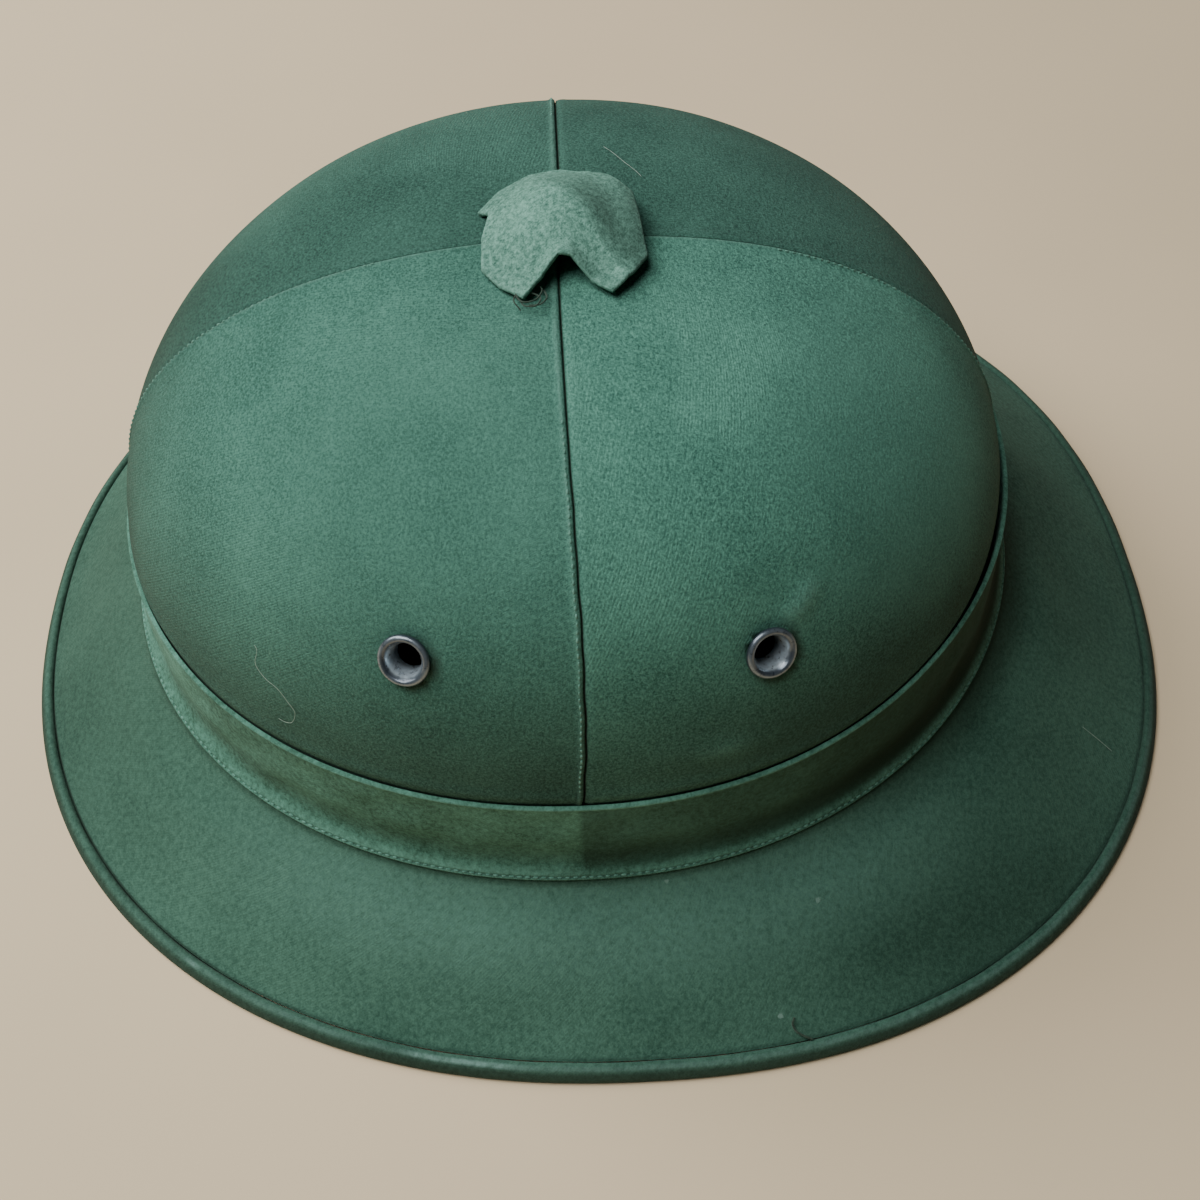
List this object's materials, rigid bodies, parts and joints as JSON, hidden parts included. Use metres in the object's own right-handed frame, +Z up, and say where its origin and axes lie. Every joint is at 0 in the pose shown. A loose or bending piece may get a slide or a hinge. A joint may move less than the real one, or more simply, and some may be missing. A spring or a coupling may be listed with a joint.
{
  "type": "pith helmet",
  "caption": "Cloth-covered pith sun helmet with a domed panelled crown, sloping oval brim, hat band, vented top cap and metal vent eyelets.",
  "frame": {"origin": "under the middle of the brim, on the surface that the brim edge rests on", "axes": "+Z up through the crown, -Y to the front of the hat, +X to the wearer's left side"},
  "size_m": [0.3076, 0.3324, 0.1478],
  "materials": {
    "crown_cloth": "matte bluish green felted twill",
    "brim_cloth": "matte green cloth",
    "band_cloth": "matte olive brown-green cloth",
    "edge_cloth": "matte green cloth, worn on its edge",
    "cap_cloth": "matte faded green cloth",
    "moulded_fibre": "matte pressed fibre",
    "eyelet_metal": "dark satin metal"
  },
  "bodies": {
    "root": {"moulded_shell": "moulded_fibre", "crown_panel_left_front": "crown_cloth", "crown_panel_left_rear": "crown_cloth", "crown_panel_right_front": "crown_cloth", "crown_panel_right_rear": "crown_cloth", "brim_cover": "brim_cloth", "brim_edge_roll": "edge_cloth", "hat_band": "band_cloth", "top_cap": "cap_cloth", "vent_eyelet_left_front": "eyelet_metal", "vent_eyelet_left_rear": "eyelet_metal", "vent_eyelet_right_front": "eyelet_metal", "vent_eyelet_right_rear": "eyelet_metal"}
  },
  "joints": []
}
